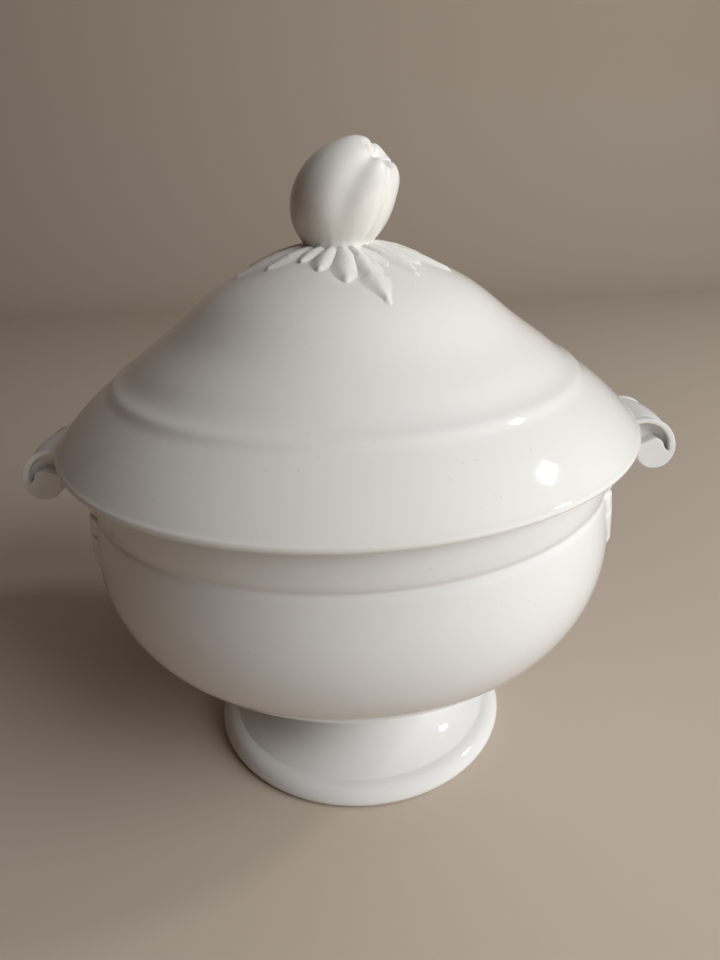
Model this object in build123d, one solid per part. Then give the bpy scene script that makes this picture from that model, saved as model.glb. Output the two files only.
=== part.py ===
from build123d import *
from math import cos, radians, sin
import os

# A round pedestal soup tureen with its lid. Millimetres, +Z up.
# The origin is the centre of the foot ring, in the plane that the foot stands on.
# The two handles lie on the X axis.

# ---- driving dimensions -------------------------------------------------
LID_RADIUS = 130.0        # outer edge of the lid's brim
LID_EDGE_Z = 171.3        # widest point of the rounded brim edge
SEAT_Z = 175.0            # flat lip of the bowl that the lid rests on
CROWN_Z = 247.6           # top of the lid's dome, under the knob
KNOB_TOP_Z = 290.0        # highest petal tip
STEP_RADIUS = 104.9       # foot of the small step around the dome
BELLY_RADIUS = 121.6      # widest part of the bowl
BELLY_Z = 118.0
GROOVE_Z = 148.2          # thin groove below the bowl's upper band
GROOVE_DEPTH = 0.9
GROOVE_HALF = 1.6
LIP_RADIUS = 119.6        # outside of the bowl at its lip
WALL = 4.8                # thickness of the cast wall
FLANGE_RADIUS = 112.2     # locating flange under the lid, inside the mouth
FLANGE_DROP = 11.5
SEAT_OUT_RADIUS = 122.4   # outer edge of the lid's flat seat
NECK_RADIUS = 46.0        # where the foot meets the bowl
NECK_Z = 37.0
FOOT_RADIUS = 77.0
FOOT_CREASE_RADIUS = 68.5
FOOT_CREASE_Z = 9.4
FOOT_WALL = 6.0

# scroll handles: a strap that leaves the wall at the lip, curls over and down,
# and ends in a round eye; its middle lobe stands out from the two end lobes
SCROLL_HALF_WIDTH = 18.0
MID_LOBE_HALF_WIDTH = 13.5
MID_LOBE_SCALE = 1.05     # the middle lobe's outline, larger about a point inside the wall
STRAP_START = (128.0, 168.2)
HANDLE_ROOT = (112.0, 164.6)
SCROLL_OUTSIDE = [
    STRAP_START, (132.4, 168.8), (136.5, 169.0), (140.6, 168.2), (144.6, 166.0), (147.9, 162.2),
    (149.9, 157.4), (150.1, 152.4), (147.4, 147.1), (142.2, 144.8), (136.6, 146.3),
    (133.3, 150.6), (132.9, 155.6),
]
EYE_CENTRE = (140.2, 153.2)
EYE_RADIUS = 6.2
CHANNEL_DEPTH = 5.0
CHANNEL_INSIDE = [
    (130.0, 166.2), (136.3, 166.9), (140.0, 166.1), (143.4, 164.1), (146.1, 160.9),
    (147.8, 156.8), (148.0, 152.8),
]
STRAP_UNDERSIDE = [(132.9, 155.6), (132.1, 159.4), (129.0, 161.7), (124.6, 162.1), (119.6, 161.0)]
CHANNEL_MOUTH = (127.6, 160.0)
LEFT_HANDLE_DROP = 3.2    # the left handle sits this much lower than the right one

# applied leaves
LEAF_RELIEF = 2.0         # height of a leaf above the surface it is laid on
SIDE_LEAF_WIDTH = 18.0
# the sprig under each handle: direction in degrees from the handle, upper end, length
SIDE_LEAVES = [(-22, 166, 45), (-11, 156, 42), (0, 156, 49), (11, 156, 42), (22, 166, 45)]
LEAF_CUT_START = 95.0     # side leaves are cut from a blade that starts inside the wall
LEAF_CUT_LENGTH = 35.0

# the ring of leaves around the knob: direction in degrees, reach from the axis, width
KNOB_LEAF_START = 14.0
KNOB_LEAVES = [
    (-166, 48, 9), (-146, 38, 8), (-124, 30, 7), (-105, 36, 8), (-88, 44, 9),
    (-72, 57, 11), (-59, 35, 6), (-46, 44, 7), (-30, 38, 7), (-12, 48, 9),
    (10, 36, 8), (33, 50, 10), (56, 37, 8), (80, 54, 11), (104, 38, 8),
    (127, 48, 10), (151, 37, 8), (172, 42, 8),
]

# the knob: a closed flower bud that leans towards +X
BUD_LEAN = 20.0           # degrees from the vertical
BUD_CENTRE_X = 0.2
BUD_NECK_RADIUS = 14.7
BUD_NECK_TOP_RADIUS = 19.5
BUD_NECK_HEIGHT = 12.0
BUD_NECK_X = -0.9
BUD_NECK_SINK = 3.0       # the neck starts this far below the crown, and is cut to it
PETAL_COUNT = 5
PETAL_HALF_WIDTH = 17.6
PETAL_HALF_LENGTH = 23.0
PETAL_OFFSET = 5.6        # petal centres from the bud's axis
PETAL_FIRST = 150.0       # direction of the first petal around the bud's axis
TIP_ABOVE_CENTRE = 24.95  # highest petal tip above the middle of the leaning bud

PLANE = Plane.XZ          # outlines are drawn as (radius, height)
SEAM_DIRECTION = 92.0     # the seam of every turned form lies at the back, between leaves


def revolve_outline(edges):
    """A solid of revolution about Z from a closed outline in the XZ plane."""
    face = make_face(edges)
    return Rot(0, 0, SEAM_DIRECTION) * revolve(PLANE * face, Axis.Z)


# ---- bowl ---------------------------------------------------------------
def bowl_side(shift=0.0):
    """Outside of the bowl from its neck to its lip, moved outwards by shift."""
    lower = [
        (NECK_RADIUS, NECK_Z), (62.0, 43.4), (81.0, 57.0), (100.3, 75.2),
        (113.2, 90.0), (119.7, 105.0), (BELLY_RADIUS, BELLY_Z), (120.9, 134.0),
        (119.3, GROOVE_Z - GROOVE_HALF),
    ]
    groove_out = (119.3, GROOVE_Z + GROOVE_HALF)
    groove_in = (119.3 - GROOVE_DEPTH, GROOVE_Z)
    band_mid = (120.1, 162.0)
    lip_out = (LIP_RADIUS, SEAT_Z - 2.0)

    def at(point):
        return (point[0] + shift, point[1])

    side = Spline([at(point) for point in lower])
    groove = ThreePointArc(at(lower[-1]), at(groove_in), at(groove_out))
    band = ThreePointArc(at(groove_out), at(band_mid), at(lip_out))
    return [side, groove, band]


def bowl_filled(shift=0.0):
    """The bowl's outer form with no hollow, for cutting what is fixed to it."""
    side = bowl_side(shift)
    top = side[-1] @ 1
    base = side[0] @ 0
    close = Polyline((top.X, top.Y), (0, top.Y), (0, base.Y), (base.X, base.Y))
    return revolve_outline(side + [close])


def bowl():
    """Open bowl with a flat lip; its floor closes the top of the hollow foot."""
    side = bowl_side()
    lip_in = LIP_RADIUS - WALL - 0.6
    lip = [
        RadiusArc((LIP_RADIUS, SEAT_Z - 2.0), (LIP_RADIUS - 2.0, SEAT_Z), -2.0),
        Line((LIP_RADIUS - 2.0, SEAT_Z), (lip_in + 1.0, SEAT_Z)),
        RadiusArc((lip_in + 1.0, SEAT_Z), (lip_in, SEAT_Z - 1.0), -1.0),
    ]
    inside = Spline([
        (lip_in, SEAT_Z - 1.0), (114.7, 150.0), (116.0, 133.0),
        (BELLY_RADIUS - WALL, BELLY_Z), (114.9, 106.5), (108.9, 93.2),
        (96.6, 78.6), (77.6, 60.9), (60.0, 49.2), (34.0, 43.6), (0, 43.0),
    ])
    floor = Polyline((0, 43.0), (0, NECK_Z), (NECK_RADIUS, NECK_Z))
    return revolve_outline(side + lip + [inside, floor])


# ---- foot ---------------------------------------------------------------
def pedestal_foot():
    """Hollow spool foot: a rounded ring, a crease, and a hollow curve to the neck."""
    ring_out = FOOT_RADIUS - 1.8
    ring_in = FOOT_RADIUS - 7.0
    cove = Spline([
        (NECK_RADIUS, NECK_Z), (46.6, 31.5), (50.4, 23.4), (58.2, 15.2),
        (FOOT_CREASE_RADIUS, FOOT_CREASE_Z),
    ])
    roll = Spline([
        (FOOT_CREASE_RADIUS, FOOT_CREASE_Z), (73.2, 8.3), (76.2, 5.6),
        (FOOT_RADIUS, 2.4), (ring_out, 0),
    ])
    ring = Line((ring_out, 0), (ring_in, 0))
    recess = Spline([
        (ring_in, 0), (66.4, 3.6), (54.2, 11.2), (44.6, 20.0), (40.6, 30.0),
        (NECK_RADIUS - FOOT_WALL, NECK_Z),
    ])
    top = Line((NECK_RADIUS - FOOT_WALL, NECK_Z), (NECK_RADIUS, NECK_Z))
    return revolve_outline([cove, roll, ring, recess, top])


# ---- lid ----------------------------------------------------------------
def dome_side(rise=0.0):
    """The lid's dome from its crown to the top of the step, raised by rise."""
    points = [
        (0, CROWN_Z), (20.0, 246.3), (39.5, 240.0), (58.7, 229.9), (77.0, 215.4),
        (91.0, 205.2), (99.0, 199.3), (STEP_RADIUS - 1.7, 197.2),
    ]
    raised = [(radius, height + rise) for radius, height in points]
    return Spline(raised, tangents=[(1, 0), (1, -0.25)])


def brim_side():
    """Step, slightly rounded brim, and the brim's rounded edge."""
    step_foot = (STEP_RADIUS, 194.7)
    brim_end = (LID_RADIUS - 0.9, LID_EDGE_Z + 2.1)
    return [
        Line((STEP_RADIUS - 1.7, 197.2), step_foot),
        ThreePointArc(step_foot, (117.6, 184.9), brim_end),
        ThreePointArc(brim_end, (LID_RADIUS, LID_EDGE_Z), (LID_RADIUS - 1.7, LID_EDGE_Z - 1.4)),
    ]


def dome_filled(rise=0.0):
    """The dome as a solid form, for cutting what is fixed on top of it."""
    dome = dome_side(rise)
    edge = dome @ 1
    close = Polyline((edge.X, edge.Y), (edge.X, SEAT_Z), (0, SEAT_Z), (0, CROWN_Z + rise))
    return revolve_outline([dome, close])


def lid():
    """Domed lid: overhanging brim, flat seat, and a flange that drops into the mouth."""
    edge_low = (LID_RADIUS - 1.7, LID_EDGE_Z - 1.4)
    seat_out = (SEAT_OUT_RADIUS, SEAT_Z)
    flange_low = SEAT_Z - FLANGE_DROP
    flange_in = FLANGE_RADIUS - WALL
    under = [
        Line(edge_low, seat_out),
        Line(seat_out, (FLANGE_RADIUS, SEAT_Z)),
        Line((FLANGE_RADIUS, SEAT_Z), (FLANGE_RADIUS - 0.6, flange_low + 2.0)),
        Spline([
            (FLANGE_RADIUS - 0.6, flange_low + 2.0), (FLANGE_RADIUS - 2.7, flange_low),
            (flange_in + 0.2, flange_low + 2.4),
        ]),
    ]
    inside = Spline([
        (flange_in + 0.2, flange_low + 2.4), (106.6, 177.0), (102.6, 186.0),
        (96.4, 193.6), (87.6, 200.8), (73.8, 211.0), (56.0, 225.0), (37.6, 235.1),
        (19.4, 241.1), (0, CROWN_Z - WALL),
    ], tangents=[(-0.1, 1), (-1, 0)])
    axis = Line((0, CROWN_Z - WALL), (0, CROWN_Z))
    return revolve_outline([dome_side()] + brim_side() + under + [inside, axis])


# ---- handles ------------------------------------------------------------
def scroll_section(size):
    """Side view of the scroll and its strap, size times as large about the handle's root."""
    root_x, root_z = HANDLE_ROOT

    def at(point):
        return (root_x + (point[0] - root_x) * size, root_z + (point[1] - root_z) * size)

    outside = Spline([at(point) for point in SCROLL_OUTSIDE])
    underside = Spline([at(point) for point in STRAP_UNDERSIDE])
    low = at(STRAP_UNDERSIDE[-1])
    high = at(STRAP_START)
    return make_face([outside, underside, Polyline(low, (root_x, low[1]), (root_x, high[1]), high)])


def channel_section():
    """The crescent between the strap and the eye, open towards the bowl."""
    eye_x, eye_z = EYE_CENTRE
    diagonal = EYE_RADIUS * 0.7071
    around_eye = Spline([
        CHANNEL_INSIDE[-1], (eye_x + EYE_RADIUS, eye_z + 0.8),
        (eye_x + diagonal, eye_z + diagonal), (eye_x, eye_z + EYE_RADIUS),
        (eye_x - diagonal, eye_z + diagonal), (eye_x - EYE_RADIUS - 4, eye_z + 3.6),
    ])
    open_side = Polyline(around_eye @ 1, CHANNEL_MOUTH, CHANNEL_INSIDE[0])
    return make_face([Spline(CHANNEL_INSIDE), around_eye, open_side])


def handle(side):
    """Scroll handle on the +X side (side = 1) or the -X side (side = -1)."""
    scroll = extrude(PLANE * scroll_section(1.0), SCROLL_HALF_WIDTH, both=True)
    scroll += extrude(PLANE * scroll_section(MID_LOBE_SCALE), MID_LOBE_HALF_WIDTH, both=True)
    for end in (-1, 1):
        channel = extrude(PLANE * channel_section(), CHANNEL_DEPTH, both=True)
        scroll -= Pos(0, end * SCROLL_HALF_WIDTH, 0) * channel
    if side < 0:
        scroll = Pos(0, 0, -LEFT_HANDLE_DROP) * Rot(0, 0, 180) * scroll
    return scroll - bowl_filled()


# ---- applied leaves -----------------------------------------------------
def leaf_outline(length, width, serrated=False):
    """A pointed leaf lying along +Y from the origin; a serrated one has side lobes."""
    half = width / 2
    if not serrated:
        right = Spline([(half * 0.45, 0), (half, length * 0.5), (0, length)])
        left = Spline([(0, length), (-half, length * 0.5), (-half * 0.45, 0)])
        return make_face([right, left, Line((-half * 0.45, 0), (half * 0.45, 0))])
    edges = []
    for way in (1, -1):
        low = [(way * half * 0.4, 0), (way * half * 0.95, length * 0.3), (way * half, length * 0.52)]
        high = [(way * half * 0.66, length * 0.55), (way * half * 0.7, length * 0.7), (0, length)]
        edges += [Spline(low), Line(low[-1], high[0]), Spline(high)]
    edges.append(Line((-half * 0.4, 0), (half * 0.4, 0)))
    return make_face(edges)


def side_leaf(side, direction, top, drop):
    """One leaf of the sprig below a handle, pointing down the wall of the bowl."""
    outline = leaf_outline(drop, SIDE_LEAF_WIDTH, serrated=True)
    wall = Plane(origin=(LEAF_CUT_START, 0, top), x_dir=(0, 1, 0), z_dir=(-1, 0, 0))
    blade = extrude(wall * outline, -LEAF_CUT_LENGTH)
    turn = direction + (180 if side < 0 else 0)
    blade = Rot(0, 0, turn) * blade
    return (blade & bowl_filled(LEAF_RELIEF)) - bowl_filled()


def knob_leaf_shadow(direction, reach, width):
    """The outline of one leaf of the knob's ring, seen from above."""
    outline = leaf_outline(reach - KNOB_LEAF_START, width, serrated=width >= 10)
    return Rot(0, 0, direction - 90) * Pos(0, KNOB_LEAF_START, 0) * outline


def knob_leaf(number, knob):
    """One leaf laid on the dome, tucked under its neighbour and against the knob."""
    shadow = knob_leaf_shadow(*KNOB_LEAVES[number])
    if number > 0:
        shadow -= knob_leaf_shadow(*KNOB_LEAVES[number - 1])
    blade = extrude(shadow, KNOB_TOP_Z)
    return (blade & dome_filled(LEAF_RELIEF)) - dome_filled() - knob


# ---- knob ---------------------------------------------------------------
def petal():
    """One plump petal: an egg shape, standing upright around the origin."""
    outline = Spline([
        (0, -PETAL_HALF_LENGTH), (PETAL_HALF_WIDTH * 0.56, -PETAL_HALF_LENGTH * 0.7),
        (PETAL_HALF_WIDTH, 0), (PETAL_HALF_WIDTH * 0.68, PETAL_HALF_LENGTH * 0.72),
        (0, PETAL_HALF_LENGTH),
    ], tangents=[(1, 0), (-1, 0)])
    return revolve_outline([outline, Line((0, PETAL_HALF_LENGTH), (0, -PETAL_HALF_LENGTH))])


def bud_neck():
    """The flared neck under the petals, sunk a little into the crown."""
    return Pos(BUD_NECK_X, 0, CROWN_Z - BUD_NECK_SINK) * Cone(
        BUD_NECK_RADIUS, BUD_NECK_TOP_RADIUS, BUD_NECK_HEIGHT + BUD_NECK_SINK,
        align=(Align.CENTER, Align.CENTER, Align.MIN))


def bud_knob():
    """Closed bud of five petals, standing on the crown and leaning towards +X."""
    bud = Part()
    for number in range(PETAL_COUNT):
        direction = radians(PETAL_FIRST + number * 360 / PETAL_COUNT)
        bud += Pos(PETAL_OFFSET * cos(direction), PETAL_OFFSET * sin(direction), 0) * petal()
    bud = Pos(BUD_CENTRE_X, 0, KNOB_TOP_Z - TIP_ABOVE_CENTRE) * Rot(0, BUD_LEAN, 0) * bud
    return (bud + bud_neck()) - dome_filled()


def write(name, shape):
    """Write one node as its own STEP file."""
    shape.label = name
    export_step(shape, os.path.join("parts", name + ".step"))


def main():
    os.makedirs("parts", exist_ok=True)
    write("bowl", bowl())
    write("pedestal_foot", pedestal_foot())
    for side, name in ((-1, "left"), (1, "right")):
        write(f"handle_{name}", handle(side))
        for number, (direction, top, drop) in enumerate(SIDE_LEAVES):
            write(f"handle_{name}_leaf_{number + 1}", side_leaf(side, direction, top, drop))
    write("lid", lid())
    knob = bud_knob()
    write("bud_knob", knob)
    for number in range(len(KNOB_LEAVES)):
        write(f"knob_leaf_{number + 1:02d}", knob_leaf(number, knob))


main()
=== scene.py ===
# The looks of a white porcelain soup tureen, built around its CAD parts. +Z up, metres.
# Outlines are in millimetres, as (radius, height), and repeat the CAD model's own.
import math
import bmesh
import bpy
import numpy as np
from mathutils import Matrix, Vector


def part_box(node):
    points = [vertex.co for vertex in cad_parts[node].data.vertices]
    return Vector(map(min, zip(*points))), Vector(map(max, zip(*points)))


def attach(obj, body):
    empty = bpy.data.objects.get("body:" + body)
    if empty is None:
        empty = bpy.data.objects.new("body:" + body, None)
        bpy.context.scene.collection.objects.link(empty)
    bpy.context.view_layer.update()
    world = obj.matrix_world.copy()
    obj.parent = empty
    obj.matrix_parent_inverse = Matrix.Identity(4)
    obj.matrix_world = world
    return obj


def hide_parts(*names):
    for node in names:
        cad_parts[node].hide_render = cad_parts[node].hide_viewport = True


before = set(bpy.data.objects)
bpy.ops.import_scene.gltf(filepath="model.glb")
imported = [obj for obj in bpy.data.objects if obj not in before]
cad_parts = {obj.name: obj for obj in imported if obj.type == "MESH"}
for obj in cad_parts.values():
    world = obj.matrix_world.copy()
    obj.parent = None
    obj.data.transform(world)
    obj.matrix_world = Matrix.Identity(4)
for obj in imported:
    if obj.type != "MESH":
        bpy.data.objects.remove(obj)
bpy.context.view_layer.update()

MM = 0.001
BASE = "tureen_base"
LID = "tureen_lid"
TURN_STEPS = 288          # faces around each turned form
CAST_WAVER = 0.14         # mm that a cast wall wanders inwards from a true circle
WAVER_MEAN = 0.5          # shares of CAST_WAVER
WAVER_SWING = 0.3
THREEFOLD_SHARE = 0.6     # of the threefold wave against the twofold one
WAVER_TWIST = 40          # mm of height over which the wandering turns by one radian
SOFTEN_STEP = 0.5         # mm between outline points where glaze fills a corner


# ---- curves ---------------------------------------------------------------
def spline(points, steps=14):
    """Points along a smooth curve through the given points (a natural cubic spline)."""
    knots = np.array(points, float)
    count = len(knots)
    chord = np.r_[0, np.cumsum(np.linalg.norm(np.diff(knots, axis=0), axis=1))]
    gap = np.diff(chord)
    system = np.eye(count)
    right = np.zeros_like(knots)
    for i in range(1, count - 1):
        system[i, i - 1:i + 2] = gap[i - 1], 2 * (gap[i - 1] + gap[i]), gap[i]
        slope_after = (knots[i + 1] - knots[i]) / gap[i]
        slope_before = (knots[i] - knots[i - 1]) / gap[i - 1]
        right[i] = 6 * (slope_after - slope_before)
    bend = np.linalg.solve(system, right)
    curve = []
    for i in range(count - 1):
        for t in np.linspace(0, gap[i], steps, endpoint=False):
            rest = gap[i] - t
            value = (bend[i] * rest ** 3 + bend[i + 1] * t ** 3) / (6 * gap[i])
            value += (knots[i] / gap[i] - bend[i] * gap[i] / 6) * rest
            value += (knots[i + 1] / gap[i] - bend[i + 1] * gap[i] / 6) * t
            curve.append(tuple(value))
    curve.append(tuple(knots[-1]))
    return curve


def arc(start, middle, end, steps=16):
    """Points along the circular arc through three points."""
    a, b, c = (np.array(p, float) for p in (start, middle, end))
    centre = np.linalg.solve(2 * np.array([b - a, c - a]), [b @ b - a @ a, c @ c - a @ a])
    radius = np.linalg.norm(a - centre)
    angles = np.unwrap([math.atan2(*(p - centre)[::-1]) for p in (a, b, c)])
    return [tuple(centre + radius * np.array([math.cos(t), math.sin(t)]))
            for t in np.linspace(angles[0], angles[2], steps)]


def joined(*runs):
    """One outline from several runs, without doubled points."""
    outline = []
    for run in runs:
        for point in run:
            if not outline or math.dist(outline[-1], point) > 1e-4:
                outline.append(point)
    return outline


def smooth(value):
    """Smooth rise from 0 to 1."""
    value = np.clip(value, 0, 1)
    return value * value * (3 - 2 * value)


def softened(outline, low, high, passes):
    """Glaze fills the corners of an outline between two heights."""
    fine = []
    for (r1, z1), (r2, z2) in zip(outline, outline[1:]):
        length = math.dist((r1, z1), (r2, z2))
        steps = max(1, math.ceil(length / SOFTEN_STEP)) if low < z1 < high else 1
        fine += [(r1 + (r2 - r1) * k / steps, z1 + (z2 - z1) * k / steps) for k in range(steps)]
    fine = np.array(fine + [outline[-1]])
    inside = (fine[:, 1] > low) & (fine[:, 1] < high) & (np.arange(len(fine)) < len(fine) // 2)
    inside[[0, -1]] = False
    for _ in range(passes):
        mean = fine.copy()
        mean[1:-1] = (fine[:-2] + 2 * fine[1:-1] + fine[2:]) / 4
        fine[inside] = mean[inside]
    return [tuple(point) for point in fine]


# ---- meshes ---------------------------------------------------------------
def piece(name, vertices, faces, sharp_degrees=40):
    """A closed, smooth-shaded mesh object from points in millimetres."""
    mesh = bpy.data.meshes.new(name)
    mesh.from_pydata([tuple(MM * c for c in v) for v in vertices], [], faces)
    tidy = bmesh.new()
    tidy.from_mesh(mesh)
    bmesh.ops.recalc_face_normals(tidy, faces=tidy.faces)
    tidy.to_mesh(mesh)
    tidy.free()
    mesh.shade_smooth()
    mesh.set_sharp_from_angle(angle=math.radians(sharp_degrees))
    thing = bpy.data.objects.new(name, mesh)
    bpy.context.scene.collection.objects.link(thing)
    return thing


def baked(thing):
    """Apply a piece's modifiers to its mesh."""
    graph = bpy.context.evaluated_depsgraph_get()
    mesh = bpy.data.meshes.new_from_object(thing.evaluated_get(graph))
    thing.modifiers.clear()
    thing.data = mesh
    mesh.shade_smooth()
    return thing


def turned(name, outline, ring=False, phase=0.0):
    """A form of revolution. A ring's outline is closed; any other starts and ends on the axis."""
    vertices = []
    rows = []
    for radius, height in outline:
        if radius < 1e-6:
            rows.append([len(vertices)])
            vertices.append((0, 0, height))
            continue
        rows.append(list(range(len(vertices), len(vertices) + TURN_STEPS)))
        for step in range(TURN_STEPS):
            angle = 2 * math.pi * step / TURN_STEPS
            waver = math.sin(2 * angle + phase)
            waver += THREEFOLD_SHARE * math.sin(3 * angle - phase + height / WAVER_TWIST)
            cast = radius - CAST_WAVER * (WAVER_MEAN + WAVER_SWING * waver)
            vertices.append((cast * math.cos(angle), cast * math.sin(angle), height))
    faces = []
    pairs = list(zip(rows, rows[1:] + rows[:1])) if ring else list(zip(rows, rows[1:]))
    for low, high in pairs:
        for step in range(TURN_STEPS):
            after = (step + 1) % TURN_STEPS
            corners = [low[step % len(low)], low[after % len(low)],
                       high[after % len(high)], high[step % len(high)]]
            faces.append(list(dict.fromkeys(corners)))
    return piece(name, vertices, [face for face in faces if len(face) > 2])


def shell(name, top, bottom):
    """A closed sheet between two grids of points of the same size."""
    rows, columns = top.shape[:2]
    half = rows * columns
    faces = []
    for i in range(rows - 1):
        for j in range(columns - 1):
            corner = i * columns + j
            quad = [corner, corner + 1, corner + columns + 1, corner + columns]
            faces.append(quad)
            faces.append([half + index for index in reversed(quad)])
    edge = [(0, j) for j in range(columns)]
    edge += [(i, columns - 1) for i in range(1, rows)]
    edge += [(rows - 1, j) for j in range(columns - 2, -1, -1)]
    edge += [(i, 0) for i in range(rows - 2, 0, -1)]
    loop = [i * columns + j for i, j in edge]
    for a, b in zip(loop, loop[1:] + loop[:1]):
        faces.append([a, b, half + b, half + a])
    vertices = np.r_[top.reshape(-1, 3), bottom.reshape(-1, 3)]
    return piece(name, vertices, faces, sharp_degrees=60)


# ---- outlines -------------------------------------------------------------
GROOVE = [(119.3, 146.6), (118.4, 148.2), (119.3, 149.8)]
BOWL_OUTSIDE = joined(
    spline([(46, 37), (62, 43.4), (81, 57), (100.3, 75.2), (113.2, 90), (119.7, 105),
            (121.6, 118), (120.9, 134), GROOVE[0]]),
    arc(*GROOVE),
    arc(GROOVE[2], (120.1, 162), (119.6, 173)))
BOWL_OUTLINE = joined(
    [(0, 37), (30, 37)], BOWL_OUTSIDE,
    arc((119.6, 173), (119.01, 174.41), (117.6, 175)),
    [(115.2, 175)], arc((115.2, 175), (114.5, 174.7), (114.2, 174), 6),
    spline([(114.2, 174), (114.7, 150), (116, 133), (116.8, 118), (114.9, 106.5), (108.9, 93.2),
            (96.6, 78.6), (77.6, 60.9), (60, 49.2), (34, 43.6), (0, 43)]))
FOOT_OUTLINE = joined(
    spline([(46, 37), (46.6, 31.5), (50.4, 23.4), (58.2, 15.2), (68.5, 9.4)]),
    spline([(68.5, 9.4), (73.2, 8.3), (76.2, 5.6), (77, 2.4), (75.2, 0)]),
    spline([(70, 0), (66.4, 3.6), (54.2, 11.2), (44.6, 20), (40.6, 30), (40, 37)]))
DOME = joined(spline([(0, 247.6), (20, 246.3), (39.5, 240), (58.7, 229.9), (77, 215.4),
                      (91, 205.2), (99, 199.3), (103.2, 197.2)]))
LID_OUTLINE = joined(
    DOME, [(104.9, 194.7)],
    arc((104.9, 194.7), (117.6, 184.9), (129.1, 173.4), 30),
    arc((129.1, 173.4), (130, 171.3), (128.3, 169.9), 12),
    [(122.4, 175), (112.2, 175), (111.6, 165.5)],
    spline([(111.6, 165.5), (109.5, 163.5), (107.6, 165.9)]),
    spline([(107.6, 165.9), (106.6, 177), (102.6, 186), (96.4, 193.6), (87.6, 200.8),
            (73.8, 211), (56, 225), (37.6, 235.1), (19.4, 241.1), (0, 242.8)]))


def dome_height(radius):
    """Height of the lid's dome at a radius."""
    radii, heights = np.array(DOME).T
    return np.interp(radius, radii, heights)


def wall_radius(height):
    """Outside radius of the bowl at a height."""
    radii, heights = np.array(BOWL_OUTSIDE).T
    return np.interp(height, heights, radii)


# ---- handles --------------------------------------------------------------
HANDLE_ROOT = (112.0, 164.6)    # the lobes swell about this point, inside the wall
SCROLL_OUTSIDE = spline([
    (128.0, 168.2), (132.4, 168.8), (136.5, 169.0), (140.6, 168.2), (144.6, 166.0), (147.9, 162.2),
    (149.9, 157.4), (150.1, 152.4), (147.4, 147.1), (142.2, 144.8), (136.6, 146.3),
    (133.3, 150.6), (132.9, 155.6)], steps=8)
STRAP_UNDERSIDE = spline([
    (132.9, 155.6), (132.1, 159.4), (129.0, 161.7), (124.6, 162.1), (119.6, 161.0)], steps=8)
CHANNEL_STRAP = spline([
    (130, 166.2), (136.3, 166.9), (140, 166.1), (143.4, 164.1), (146.1, 160.9),
    (147.8, 156.8), (148, 152.8)], steps=8)
CHANNEL_TIP = (148, 152.8)
CHANNEL_MOUTH = (127.6, 160)
ROOT_X = 117.0            # inside the wall, short of the hollow
EYE_CENTRE = (140.2, 153.2)
EYE_RADIUS = 6.2
EYE_START_RISE = 0.8      # where the channel's edge meets the eye, above its centre
MOUTH_RUN = 4             # how far the channel's edge runs on past the eye
MOUTH_RISE = 3.6          # and how high above its centre it ends
HALF_WIDTH = 18.0
HANDLE_SLICES = 109
CREASE_Y = 13.5           # the creases between the middle lobe and the end lobes
MIDDLE_BULGE = 0.047      # shares of the outline's size
END_BULGE = 0.018
CREASE_PINCH = 0.035
MIDDLE_FULLNESS = 0.6     # below 1, the middle lobe is flat on top and steep at its creases
END_RISE = 1.25           # how fast an end lobe rises from its crease
CHANNEL_DEPTH = 5.0
CUTTER_OVERSHOOT = 2
MELT_SIZE = 0.0004        # metres; the cells in which sharp edges melt together
EDGE_SOFTNESS = 0.5
SOFTEN_PASSES = 6


def lobe_size(y):
    """How large the scroll's outline is across the handle, pinched at the two creases."""
    across = abs(y)
    if across < CREASE_Y:
        swell = (1 - (across / CREASE_Y) ** 2) ** MIDDLE_FULLNESS
        return 1 - CREASE_PINCH + (MIDDLE_BULGE + CREASE_PINCH) * swell
    share = (across - CREASE_Y) / (HALF_WIDTH - CREASE_Y)
    swell = math.sin(math.pi / 2 * min(1, END_RISE * share))
    return 1 - CREASE_PINCH + (END_BULGE + CREASE_PINCH) * swell


def slab(name, slices):
    """A solid through closed outlines placed at increasing y: [(y, outline), ...]."""
    count = len(slices[0][1])
    vertices = [(x, y, z) for y, outline in slices for x, z in outline]
    faces = [list(range(count)), list(range((len(slices) - 1) * count, len(slices) * count))]
    for row in range(len(slices) - 1):
        for i in range(count):
            after = (i + 1) % count
            faces.append([row * count + i, row * count + after,
                          (row + 1) * count + after, (row + 1) * count + i])
    return piece(name, vertices, faces)


def channel_outline():
    """The crescent between the strap and the eye."""
    eye_x, eye_z = EYE_CENTRE
    reach = EYE_RADIUS * math.sqrt(0.5)
    around = spline([
        CHANNEL_TIP, (eye_x + EYE_RADIUS, eye_z + EYE_START_RISE),
        (eye_x + reach, eye_z + reach), (eye_x, eye_z + EYE_RADIUS), (eye_x - reach, eye_z + reach),
        (eye_x - EYE_RADIUS - MOUTH_RUN, eye_z + MOUTH_RISE)], steps=8)
    return joined(CHANNEL_STRAP, around, [CHANNEL_MOUTH])


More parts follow.
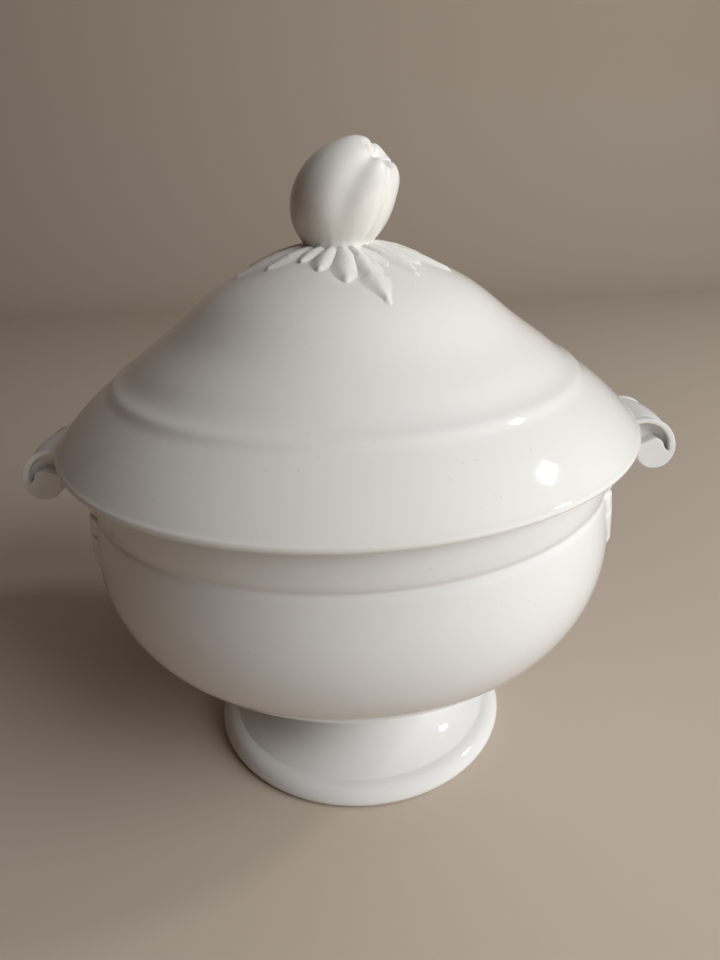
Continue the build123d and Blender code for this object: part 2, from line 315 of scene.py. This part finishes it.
def handle(side):
    """Scroll handle in three lobes, with a sunk channel around the eye at each end."""
    name = "handle_right" if side > 0 else "handle_left"
    outline = joined(SCROLL_OUTSIDE, STRAP_UNDERSIDE)
    root_x, root_z = HANDLE_ROOT
    slices = []
    for y in np.linspace(-HALF_WIDTH, HALF_WIDTH, HANDLE_SLICES):
        size = lobe_size(y)
        ring = [(root_x + (x - root_x) * size, root_z + (z - root_z) * size) for x, z in outline]
        slices.append((y, ring + [(ROOT_X, ring[-1][1]), (ROOT_X, ring[0][1])]))
    body = slab(name + "_scroll", slices)
    cutters = []
    for end in (-1, 1):
        span = sorted((end * (HALF_WIDTH - CHANNEL_DEPTH), end * (HALF_WIDTH + CUTTER_OVERSHOOT)))
        cutter = slab("channel", [(y, channel_outline()) for y in span])
        cut = body.modifiers.new("channel", "BOOLEAN")
        cut.operation = "DIFFERENCE"
        cut.solver = "EXACT"
        cut.object = cutter
        cutters.append(cutter)
    melt = body.modifiers.new("melt", "REMESH")
    melt.mode = "VOXEL"
    melt.voxel_size = MELT_SIZE
    soften = body.modifiers.new("soften", "SMOOTH")
    soften.factor = EDGE_SOFTNESS
    soften.iterations = SOFTEN_PASSES
    baked(body)
    for cutter in cutters:
        bpy.data.objects.remove(cutter)
    if side < 0:
        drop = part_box("handle_right")[0].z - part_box("handle_left")[0].z
        half_turn = Matrix.Rotation(math.pi, 4, "Z")
        body.data.transform(Matrix.Translation((0, 0, -drop)) @ half_turn)
    return finished(body, BASE, name, "base_porcelain")


# ---- leaves ---------------------------------------------------------------
LEAF_RELIEF = 1.9
LEAF_SUNK = 0.5
RIM_SUNK = 0.05           # so that a leaf's rim melts into the ground
THINNEST_LEAF = 0.03
NOTCHES = 3.2
NOTCH_DEPTH = 0.30
VEINS = 6
VEIN_SLANT = 1.1
VEIN_DEPTH = 0.03
MIDRIB_HEIGHT = 0.05
MIDRIB_WIDTH = 0.14
SIDE_LEAF_WIDTH = 18.0
# direction in degrees, height of the stalk end, length
SIDE_LEAVES = [(-22, 166, 45), (-11, 156, 42), (0, 156, 49), (11, 156, 42), (22, 166, 45)]
KNOB_LEAF_START = 13.0
KNOB_LEAF_SWAY = 0.08     # how far a leaf bends to one side, as a share of its width
SPOON_LEAF = 7            # the one leaf that is dished
LARGE_LEAF = 10           # a leaf this wide or wider is notched
LARGE_SPREAD = 1.3
SMALL_SPREAD = 1.65
# direction in degrees, reach from the axis, width
KNOB_LEAVES = [
    (-166, 48, 9), (-146, 38, 8), (-124, 30, 7), (-105, 36, 8), (-88, 44, 9),
    (-72, 57, 11), (-59, 35, 6), (-46, 44, 7), (-30, 38, 7), (-12, 48, 9),
    (10, 36, 8), (33, 50, 10), (56, 37, 8), (80, 54, 11), (104, 38, 8),
    (127, 48, 10), (151, 37, 8), (172, 42, 8),
]
# every leaf's own grid: from stalk to tip, and from side to side
LEAF_U, LEAF_V = np.meshgrid(np.linspace(0, 1, 90), np.linspace(-1, 1, 35), indexing="ij")


def leaf_half_width(along, width, serrated):
    """Half width along a pointed leaf; a serrated one is notched into side lobes."""
    form = 0.5 * (1 - along) ** 2 + np.sin(math.pi * along ** 1.25) ** 0.75
    if serrated:
        form = form * (1 - NOTCH_DEPTH * (along * NOTCHES % 1) ** 2)
    return np.maximum(width / 2 * form, THINNEST_LEAF)


def leaf_relief(dished, phase):
    """Height of a pressed leaf: soft edges, a midrib, and veins that run to the edge."""
    edge = smooth((1 - abs(LEAF_V)) / 0.9)
    crown = (0.30 + 1.1 * abs(LEAF_V) ** 1.6) if dished else (1 - 0.15 * abs(LEAF_V))
    midrib = MIDRIB_HEIGHT * np.exp(-(LEAF_V / MIDRIB_WIDTH) ** 2)
    vein = 0.5 + 0.5 * np.cos(2 * math.pi * (VEINS * LEAF_U - VEIN_SLANT * abs(LEAF_V) + phase))
    form = edge * (crown + midrib - VEIN_DEPTH * vein ** 2)
    lower_to_tip = 0.55 + 0.45 * smooth((1 - LEAF_U) / 0.6)
    tip_end = smooth((1 - LEAF_U) / 0.08)
    return LEAF_RELIEF * form * lower_to_tip * tip_end


def knob_leaf(number):
    """A leaf laid on the dome, with its stalk end under the knob."""
    direction, reach, width = KNOB_LEAVES[number]
    name = f"knob_leaf_{number + 1:02d}"
    relief = leaf_relief(number + 1 == SPOON_LEAF, number * 0.37)
    along = KNOB_LEAF_START + LEAF_U * (reach - KNOB_LEAF_START)
    sway = KNOB_LEAF_SWAY * width * math.sin(number * 2.1) * np.sin(math.pi * LEAF_U)
    large = width >= LARGE_LEAF
    spread = LARGE_SPREAD if large else SMALL_SPREAD
    aside = LEAF_V * leaf_half_width(LEAF_U, width * spread, large) + sway
    turn = math.radians(direction)
    x = along * math.cos(turn) - aside * math.sin(turn)
    y = along * math.sin(turn) + aside * math.cos(turn)
    ground = dome_height(np.hypot(x, y))
    top = np.stack([x, y, ground + relief - RIM_SUNK], -1)
    bottom = np.stack([x, y, ground - LEAF_SUNK], -1)
    return finished(shell(name + "_relief", top, bottom), LID, name, "lid_porcelain")


def side_leaf(side, number):
    """A leaf of the sprig below a handle, lying down the wall of the bowl."""
    direction, top_z, length = SIDE_LEAVES[number]
    name = f"handle_{'right' if side > 0 else 'left'}_leaf_{number + 1}"
    relief = leaf_relief(False, number * 0.41)
    height = top_z - LEAF_U * length
    wall = wall_radius(height)
    aside = LEAF_V * leaf_half_width(LEAF_U, SIDE_LEAF_WIDTH, True)
    turn = math.radians(direction + (0 if side > 0 else 180)) + aside / wall
    grids = []
    for out in (relief - RIM_SUNK, -LEAF_SUNK):
        radius = wall + out
        grids.append(np.stack([radius * np.cos(turn), radius * np.sin(turn), height], -1))
    return finished(shell(name + "_relief", *grids), BASE, name, "base_porcelain")


# ---- knob -----------------------------------------------------------------
BUD_CENTRE = np.array([0.5, 0.0, 265.0])
OPENING = np.array([0.66, -0.22, 0.72]) / np.linalg.norm([0.66, -0.22, 0.72])
BUD_LONG = 24.4
BUD_WIDE = 20.7
BUD_SHIFT = 1.4           # the bud's middle lies this far towards its opening
NECK_RADIUS = 14.6
NECK_X = -1.5
NECK_REACH = 60.0         # the neck's upright wall counts no further out than this
NECK_BLEND = 0.8          # mm of soft joining between the neck and the petals
BUD_FLOOR = 245.5         # below the crown and above the lid's hollow
# valleys between petals: direction around the opening, spread in degrees, depth in mm.
# They start FOLD_START degrees from the opening, and fade out from FOLD_FADE on.
FOLD_START = 22
FOLD_FADE = 60
VALLEYS = [(-112, 18, 1.7), (-58, 7, 0.6), (40, 8, 0.9), (122, 10, 1.1)]
# petal tips: direction around the opening, height in mm
TIPS = [(-85, 1.7), (19.5, 2.0), (96, 1.8), (153, 1.4)]
TIP_SPREAD = 40.0         # degrees around the opening
TIP_FROM_OPENING = 26.0   # degrees
TIP_LENGTH = 16           # degrees
DIMPLE_DEPTH = 4.5
DIMPLE_REACH = 20.0       # degrees
BUD_ROWS = 150
BUD_COLUMNS = 288
LINE_REACH = 0.985        # how close to straight down the bud's lines run
LINE_SPREAD = 0.9


def turn_apart(a, b):
    """Smallest difference of two directions in degrees."""
    return abs((a - b + 180) % 360 - 180)


def bud_radius(direction, around, from_opening):
    """Distance of the bud's surface from its centre."""
    shift = BUD_SHIFT * OPENING
    lean = direction @ OPENING
    # ellipsoid: (q.O)^2 / long^2 + (|q|^2 - (q.O)^2) / wide^2 = 1, with q = r d - shift
    a = lean ** 2 / BUD_LONG ** 2 + (1 - lean ** 2) / BUD_WIDE ** 2
    b = -2 * lean * BUD_SHIFT / BUD_LONG ** 2
    c = (shift @ shift) / BUD_LONG ** 2 - 1
    form = (-b + math.sqrt(b * b - 4 * a * c)) / (2 * a)
    outwards = math.hypot(direction[0], direction[1])
    if direction[2] < 0 and outwards > 0.05:
        neck = (NECK_RADIUS + NECK_X * direction[0] / outwards) / outwards
        neck = min(neck, NECK_REACH)
        blend = NECK_BLEND * math.log1p(math.exp(-abs(form - neck) / NECK_BLEND))
        form = max(form, neck) + blend
    towards_neck = smooth((from_opening - FOLD_FADE) / FOLD_FADE)
    for place, spread, depth in VALLEYS:
        fold = math.exp(-(turn_apart(around, place) / spread) ** 2)
        form -= depth * fold * (1 - towards_neck) * smooth(from_opening / FOLD_START)
    for place, height in TIPS:
        aside = turn_apart(around, place) / TIP_SPREAD
        along = (from_opening - TIP_FROM_OPENING) / TIP_LENGTH
        form += height * math.exp(-(aside ** 2 + along ** 2))
    return form - DIMPLE_DEPTH * (1 - smooth(from_opening / DIMPLE_REACH))


def bud_knob():
    """Closed flower bud: each line around the opening runs from it down to the neck."""
    # directions are spots on a plane, by stereographic projection from straight down
    opening = complex(OPENING[0], OPENING[1]) / (1 + OPENING[2])
    rows = BUD_ROWS
    columns = BUD_COLUMNS
    vertices = []
    faces = []

    def surface(spot, around):
        size = 1 + abs(spot) ** 2
        direction = np.array([2 * spot.real / size, 2 * spot.imag / size, (2 - size) / size])
        from_opening = math.degrees(math.acos(max(-1, min(1, direction @ OPENING))))
        reach = bud_radius(direction, around, from_opening)
        if BUD_CENTRE[2] + reach * direction[2] < BUD_FLOOR:
            reach = (BUD_FLOOR - BUD_CENTRE[2]) / direction[2]
        return tuple(BUD_CENTRE + reach * direction)

    vertices.append(surface(opening, 0.0))
    for row in range(1, rows + 1):
        distance = math.tan(0.5 * math.pi * row / (rows + 1) * LINE_REACH) * LINE_SPREAD
        for column in range(columns):
            around = 360 * column / columns
            turn = math.radians(around)
            spot = opening + distance * complex(math.cos(turn), math.sin(turn))
            vertices.append(surface(spot, around))
    vertices.append((BUD_CENTRE[0], BUD_CENTRE[1], BUD_FLOOR))
    last = len(vertices) - 1
    for column in range(columns):
        after = (column + 1) % columns
        faces.append([0, 1 + column, 1 + after])
        for row in range(rows - 1):
            here = 1 + row * columns
            below = here + columns
            faces.append([here + column, below + column, below + after, here + after])
        end = 1 + (rows - 1) * columns
        faces.append([end + column, last, end + after])
    petals = piece("bud_knob_petals", vertices, faces, sharp_degrees=70)
    return finished(petals, LID, "bud_knob", "lid_porcelain")


# ---- materials ------------------------------------------------------------
DRIFT_SCALE = 9           # noise scales, per metre
WEAR_SCALE = 28
PEEL_SCALE = 210
SPECK_SCALE = 900
SPECK_COLOUR = (0.42, 0.36, 0.30)
BARE_COLOUR = (0.62, 0.57, 0.49)
HOLLOW_POOLING_AND_SHADE = 0.86       # glaze pooling and painted shade in hollows, darker than the shaded white by this factor


def glazed(name, light, shade):
    """Glazed white porcelain: glaze pooling and painted shade in hollows, worn on edges, rare
    specks, a bare foot ring.
    """
    material = bpy.data.materials.new(name)
    material.use_nodes = True
    nodes = material.node_tree.nodes
    link = material.node_tree.links.new
    shader = nodes["Principled BSDF"]
    shader.inputs["IOR"].default_value = 1.5
    shader.inputs["Coat Weight"].default_value = 0.35
    shader.inputs["Coat Roughness"].default_value = 0.04
    shader.inputs["Subsurface Weight"].default_value = 0.08
    shader.inputs["Subsurface Radius"].default_value = (0.003, 0.002, 0.0014)
    place = nodes.new("ShaderNodeTexCoord").outputs["Object"]

    def noise(scale, detail=3.0):
        node = nodes.new("ShaderNodeTexNoise")
        node.inputs["Scale"].default_value = scale
        node.inputs["Detail"].default_value = detail
        link(place, node.inputs["Vector"])
        return node.outputs["Fac"]

    def ramp(source, low, high, low_value, high_value):
        node = nodes.new("ShaderNodeMapRange")
        node.inputs["From Min"].default_value = low
        node.inputs["From Max"].default_value = high
        node.inputs["To Min"].default_value = low_value
        node.inputs["To Max"].default_value = high_value
        link(source, node.inputs["Value"])
        return node.outputs["Result"]

    def mixed(amount, first, second):
        node = nodes.new("ShaderNodeMix")
        node.data_type = "RGBA"
        link(amount, node.inputs["Factor"])
        for socket, value in ((node.inputs["A"], first), (node.inputs["B"], second)):
            if isinstance(value, tuple):
                socket.default_value = (*value, 1)
            else:
                link(value, socket)
        return node.outputs["Result"]

    # a slow drift between two whites, then the hollows (glaze pooling and painted shade), the
    # specks and the foot ring
    body = mixed(ramp(noise(DRIFT_SCALE), 0.35, 0.65, 0, 1), light, shade)
    edge = nodes.new("ShaderNodeNewGeometry").outputs["Pointiness"]
    # painted shade: low pointiness darkens the hollows, partly glaze pooling, partly shade falling
    # into them
    pooling_and_shade = mixed(ramp(edge, 0.40, 0.49, 0.7, 0), body, tuple(HOLLOW_POOLING_AND_SHADE * c for c in shade))
    specked = mixed(ramp(noise(SPECK_SCALE, 0), 0.855, 0.88, 0, 0.35), pooling_and_shade, SPECK_COLOUR)
    height = nodes.new("ShaderNodeSeparateXYZ")
    link(place, height.inputs["Vector"])
    bare = ramp(height.outputs["Z"], 0.0003, 0.0009, 1, 0)
    link(mixed(bare, specked, BARE_COLOUR), shader.inputs["Base Color"])

    def added(first, second):
        node = nodes.new("ShaderNodeMath")
        node.operation = "ADD"
        link(first, node.inputs[0])
        link(second, node.inputs[1])
        return node.outputs["Value"]

    worn = added(ramp(noise(WEAR_SCALE), 0.3, 0.7, 0.045, 0.085), ramp(edge, 0.52, 0.60, 0, 0.10))
    unglazed = ramp(bare, 0, 1, 0, 0.5)
    link(added(worn, unglazed), shader.inputs["Roughness"])

    peel = nodes.new("ShaderNodeBump")
    peel.inputs["Strength"].default_value = 0.12
    peel.inputs["Distance"].default_value = 0.0004
    link(noise(PEEL_SCALE, 2), peel.inputs["Height"])
    link(peel.outputs["Normal"], shader.inputs["Normal"])
    return material


def stone(name):
    """Plain pale floor."""
    material = bpy.data.materials.new(name)
    material.use_nodes = True
    nodes = material.node_tree.nodes
    shader = nodes["Principled BSDF"]
    shader.inputs["Roughness"].default_value = 0.6
    shader.inputs["Base Color"].default_value = (0.56, 0.48, 0.40, 1)
    return material


PORCELAIN = {
    "base_porcelain": glazed("base_glaze", (0.80, 0.80, 0.795), (0.775, 0.77, 0.755)),
    "lid_porcelain": glazed("lid_glaze", (0.82, 0.815, 0.785), (0.795, 0.78, 0.735)),
}


def finished(thing, body, node, slot):
    """Give a piece its glaze, and let it stand for its CAD node and ride on its body."""
    thing.data.materials.clear()
    thing.data.materials.append(PORCELAIN[slot])
    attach(thing, body)
    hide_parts(node)
    return thing


# ---- the object -----------------------------------------------------------
bowl = turned("bowl_wall", softened(BOWL_OUTLINE, 138, 158, passes=26), phase=0.4)
finished(bowl, BASE, "bowl", "base_porcelain")
foot = turned("foot_spool", FOOT_OUTLINE, ring=True, phase=1.1)
finished(foot, BASE, "pedestal_foot", "base_porcelain")
lid = turned("lid_dome", softened(LID_OUTLINE, 186, 205, passes=40), phase=2.0)
finished(lid, LID, "lid", "lid_porcelain")
for side in (-1, 1):
    handle(side)
    for number in range(len(SIDE_LEAVES)):
        side_leaf(side, number)
bud_knob()
for number in range(len(KNOB_LEAVES)):
    knob_leaf(number)

# ---- floor, light and camera ----------------------------------------------
STAGE_HALF = 2500         # mm
STAGE_BEND = [(1200, 0), (1553.6, 146.4), (1700, 500)]    # the floor turns up into the backdrop
STAGE_TOP = (1700, 2200)
STAGE_SIDE = joined([(-STAGE_HALF, 0), STAGE_BEND[0]], arc(*STAGE_BEND, steps=24), [STAGE_TOP])
stage_points = [(x, y, z) for x in (-STAGE_HALF, STAGE_HALF) for y, z in STAGE_SIDE]
stage_row = len(STAGE_SIDE)
stage_faces = [[i, i + 1, stage_row + i + 1, stage_row + i] for i in range(stage_row - 1)]
floor = piece("floor", stage_points, stage_faces)
floor.data.materials.append(stone("floor_stone"))


TUREEN_MIDDLE = Vector((0, 0, 0.15))


def soft_light(name, towards, distance, size, power, colour, mirrored=True):
    """A rectangular area light that shines on the middle of the tureen."""
    lamp = bpy.data.lights.new(name, "AREA")
    lamp.shape = "RECTANGLE"
    lamp.size, lamp.size_y = size
    lamp.energy = power
    lamp.color = colour
    holder = bpy.data.objects.new(name, lamp)
    holder.location = TUREEN_MIDDLE + distance * Vector(towards).normalized()
    aim = TUREEN_MIDDLE - holder.location
    holder.rotation_euler = aim.to_track_quat("-Z", "Y").to_euler()
    holder.visible_glossy = mirrored
    bpy.context.scene.collection.objects.link(holder)


# the broad lights are left out of reflections, where only the window shows
soft_light("key", (0.82, -0.53, 0.42), 1.7, (1.2, 1.2), 30, (0.97, 0.99, 1.0), mirrored=False)
soft_light("overhead", (0.35, -0.15, 1.0), 1.6, (1.4, 1.4), 3, (0.98, 0.99, 1.0),
           mirrored=False)
soft_light("window", (0.829, 0.045, 0.626), 2.2, (0.23, 0.16), 7, (1.0, 1.0, 1.0))

world = bpy.data.worlds.new("studio")
world.use_nodes = True
background = world.node_tree.nodes["Background"]
background.inputs["Color"].default_value = (1.0, 0.60, 0.40, 1)
background.inputs["Strength"].default_value = 0.05
bpy.context.scene.world = world
bpy.context.scene.view_settings.view_transform = "Standard"

CAMERA_PLACE = Vector((0.0, -0.3177, 0.2810))
CAMERA_DOWN = math.radians(24.43)
CAMERA_YAW = math.radians(0.81)
CAMERA_ROLL = math.radians(-2.09)
ahead = Vector((math.sin(CAMERA_YAW) * math.cos(CAMERA_DOWN),
                math.cos(CAMERA_YAW) * math.cos(CAMERA_DOWN), -math.sin(CAMERA_DOWN)))
right = Vector((math.cos(CAMERA_YAW), -math.sin(CAMERA_YAW), 0))
up = right.cross(ahead)
rolled_right = right * math.cos(CAMERA_ROLL) + up * math.sin(CAMERA_ROLL)
rolled_up = -right * math.sin(CAMERA_ROLL) + up * math.cos(CAMERA_ROLL)
lens = bpy.data.cameras.new("camera")
lens.lens = 26.48
lens.clip_start = 0.01
camera = bpy.data.objects.new("camera", lens)
camera.matrix_world = Matrix.Translation(CAMERA_PLACE) @ Matrix(
    (rolled_right, rolled_up, -ahead)).transposed().to_4x4()
bpy.context.scene.collection.objects.link(camera)
bpy.context.scene.camera = camera
